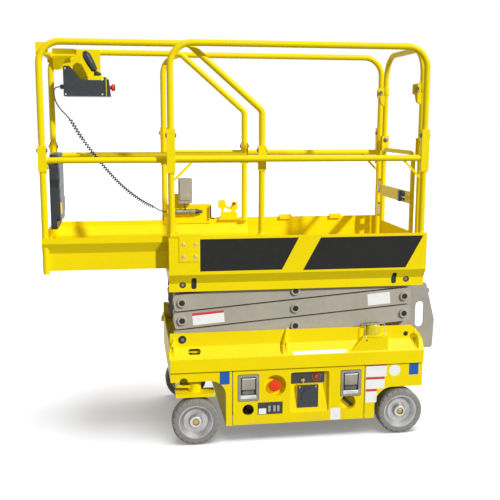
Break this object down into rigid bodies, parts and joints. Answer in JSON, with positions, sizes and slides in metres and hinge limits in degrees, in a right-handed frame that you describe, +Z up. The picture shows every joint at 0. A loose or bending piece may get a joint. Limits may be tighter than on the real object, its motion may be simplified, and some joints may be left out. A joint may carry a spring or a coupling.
{
  "type": "scissor lift",
  "caption": "Compact self-propelled scissor lift with folding guard rails, roll-out deck extension, entry gate and ladder.",
  "frame": {"origin": "on the floor under the middle of the overall length and width", "axes": "+Z up, +X towards the entry end, -Y the side with the ground controls"},
  "size_m": [2.011, 0.76, 1.979],
  "materials": {
    "yellow_paint": "gloss paint",
    "arm_paint": "satin grey paint",
    "dark_paint": "satin black paint",
    "chrome_rod": "polished",
    "black_plastic": "moulded",
    "latch_metal": "stainless",
    "dark_steel": "plain",
    "tyre": "grey non-marking",
    "wheel_metal": "silver",
    "beacon_lens": "tinted",
    "grey_plastic": "moulded",
    "red_plastic": "moulded",
    "cord_rubber": "matte"
  },
  "bodies": {
    "chassis": {"base_frame": "yellow_paint", "base_side_near": "yellow_paint", "base_side_far": "yellow_paint", "front_axle": "yellow_paint", "rear_axle": "yellow_paint", "battery_pack": "black_plastic", "entry_ladder": "arm_paint", "beacon": "beacon_lens"},
    "near_door": {"side_door_near": "yellow_paint", "door_latches_near": "latch_metal", "ground_controls": "yellow_paint", "stop_button": "red_plastic", "release_lever": "black_plastic", "battery_meter": "black_plastic"},
    "far_door": {"side_door_far": "yellow_paint", "door_latches_far": "latch_metal"},
    "knuckle_near": {"steering_knuckle_near": "yellow_paint"},
    "knuckle_far": {"steering_knuckle_far": "yellow_paint"},
    "tie_rod": {"tie_rod": "dark_steel"},
    "wheel_front_near": {"tyre_front_near": "tyre", "rim_front_near": "wheel_metal"},
    "wheel_front_far": {"tyre_front_far": "tyre", "rim_front_far": "wheel_metal"},
    "wheel_rear_near": {"tyre_rear_near": "tyre", "rim_rear_near": "wheel_metal"},
    "wheel_rear_far": {"tyre_rear_far": "tyre", "rim_rear_far": "wheel_metal"},
    "scissor_outer_1": {"scissor_outer_1": "arm_paint"},
    "scissor_inner_1": {"scissor_inner_1": "arm_paint"},
    "scissor_outer_2": {"scissor_outer_2": "arm_paint"},
    "scissor_inner_2": {"scissor_inner_2": "arm_paint"},
    "scissor_outer_3": {"scissor_outer_3": "arm_paint"},
    "scissor_inner_3": {"scissor_inner_3": "arm_paint"},
    "lift_barrel": {"lift_barrel": "dark_paint"},
    "lift_rod": {"lift_rod": "chrome_rod"},
    "platform": {"platform_deck": "yellow_paint", "rail_base_near": "yellow_paint", "rail_base_far": "yellow_paint", "top_rail_near": "yellow_paint", "top_rail_far": "yellow_paint", "rear_posts": "yellow_paint"},
    "rear_rail": {"rear_rail": "yellow_paint"},
    "gate": {"entry_gate": "yellow_paint"},
    "extension": {"extension_deck": "yellow_paint", "extension_rail_near": "yellow_paint", "extension_rail_far": "yellow_paint", "extension_front_rail": "yellow_paint", "control_box": "black_plastic", "control_hanger": "yellow_paint", "document_box": "black_plastic", "cord_socket": "yellow_paint", "outlet_box": "grey_plastic", "extension_latch": "yellow_paint", "control_cord": "cord_rubber"}
  },
  "joints": [
    {"name": "steer_near", "type": "hinge", "parent": "chassis", "child": "knuckle_near", "pos_m": [-0.276, -0.312, 0.338], "axis": [0, 0, 1], "range_deg": [-50, 50]},
    {"name": "steer_far", "type": "hinge", "parent": "chassis", "child": "knuckle_far", "pos_m": [-0.276, 0.312, 0.338], "axis": [0, 0, 1], "range_deg": [-50, 50]},
    {"name": "tie_rod_pivot", "type": "hinge", "parent": "knuckle_near", "child": "tie_rod", "pos_m": [-0.361, -0.312, 0.306], "axis": [0, 0, 1], "range_deg": [-50, 50]},
    {"name": "wheel_front_near_roll", "type": "hinge", "parent": "knuckle_near", "child": "wheel_front_near", "pos_m": [-0.276, -0.338, 0.118], "axis": [0, 1, 0], "continuous": true},
    {"name": "wheel_front_far_roll", "type": "hinge", "parent": "knuckle_far", "child": "wheel_front_far", "pos_m": [-0.276, 0.338, 0.118], "axis": [0, 1, 0], "continuous": true},
    {"name": "wheel_rear_near_roll", "type": "hinge", "parent": "chassis", "child": "wheel_rear_near", "pos_m": [0.787, -0.338, 0.118], "axis": [0, 1, 0], "continuous": true},
    {"name": "wheel_rear_far_roll", "type": "hinge", "parent": "chassis", "child": "wheel_rear_far", "pos_m": [0.787, 0.338, 0.118], "axis": [0, 1, 0], "continuous": true},
    {"name": "lift", "type": "hinge", "parent": "chassis", "child": "scissor_outer_1", "pos_m": [-0.3375, 0, 0.54], "axis": [0, -1, 0], "range_deg": [0, 58.2]},
    {"name": "scissor_inner_1_pin", "type": "hinge", "parent": "scissor_outer_1", "child": "scissor_inner_1", "pos_m": [0.23302, 0, 0.58515], "axis": [0, -1, 0], "range_deg": [-116.4, 0]},
    {"name": "scissor_outer_2_pin", "type": "hinge", "parent": "scissor_inner_1", "child": "scissor_outer_2", "pos_m": [-0.3375, 0, 0.6303], "axis": [0, -1, 0], "range_deg": [0, 116.4]},
    {"name": "scissor_inner_2_pin", "type": "hinge", "parent": "scissor_outer_2", "child": "scissor_inner_2", "pos_m": [0.23302, 0, 0.67545], "axis": [0, -1, 0], "range_deg": [-116.4, 0]},
    {"name": "scissor_outer_3_pin", "type": "hinge", "parent": "scissor_inner_2", "child": "scissor_outer_3", "pos_m": [-0.3375, 0, 0.7206], "axis": [0, -1, 0], "range_deg": [0, 116.4]},
    {"name": "scissor_inner_3_pin", "type": "hinge", "parent": "scissor_outer_3", "child": "scissor_inner_3", "pos_m": [0.23302, 0, 0.76575], "axis": [0, -1, 0], "range_deg": [-116.4, 0]},
    {"name": "platform_pin", "type": "hinge", "parent": "scissor_inner_3", "child": "platform", "pos_m": [-0.3375, 0, 0.8109], "axis": [0, -1, 0], "range_deg": [0, 58.2]},
    {"name": "cylinder_foot", "type": "hinge", "parent": "chassis", "child": "lift_barrel", "pos_m": [-0.0445, 0, 0.505], "axis": [0, -1, 0], "range_deg": [0, 69.2]},
    {"name": "cylinder_rod", "type": "slide", "parent": "lift_barrel", "child": "lift_rod", "axis": [0.9893, 0, 0.1462], "range_m": [0, 0.22077]},
    {"name": "extension_slide", "type": "slide", "parent": "platform", "child": "extension", "axis": [-1, 0, 0], "range_m": [-0.5, 0]},
    {"name": "gate_hinge", "type": "hinge", "parent": "platform", "child": "gate", "pos_m": [0.843, 0.254, 1.2], "axis": [0, 0, -1], "range_deg": [0, 90]},
    {"name": "rear_rail_fold", "type": "hinge", "parent": "platform", "child": "rear_rail", "pos_m": [0.877, 0, 1.5], "axis": [0, -1, 0], "range_deg": [0, 90]},
    {"name": "door_near_hinge", "type": "hinge", "parent": "chassis", "child": "near_door", "pos_m": [0.2555, -0.356, 0.094], "axis": [1, 0, 0], "range_deg": [0, 88]},
    {"name": "door_far_hinge", "type": "hinge", "parent": "chassis", "child": "far_door", "pos_m": [0.2555, 0.356, 0.094], "axis": [-1, 0, 0], "range_deg": [0, 88]}
  ],
  "couplings": [
    {"joint": "steer_far", "follows": "steer_near", "ratio": 1},
    {"joint": "tie_rod_pivot", "follows": "steer_near", "ratio": -1},
    {"joint": "scissor_inner_1_pin", "follows": "lift", "ratio": -2},
    {"joint": "scissor_outer_2_pin", "follows": "lift", "ratio": 2},
    {"joint": "scissor_inner_2_pin", "follows": "lift", "ratio": -2},
    {"joint": "scissor_outer_3_pin", "follows": "lift", "ratio": 2},
    {"joint": "scissor_inner_3_pin", "follows": "lift", "ratio": -2},
    {"joint": "platform_pin", "follows": "lift", "ratio": 1},
    {"joint": "cylinder_foot", "follows": "lift", "ratio": 1.1888},
    {"joint": "cylinder_rod", "follows": "lift", "m_per_rad": 0.21685}
  ]
}
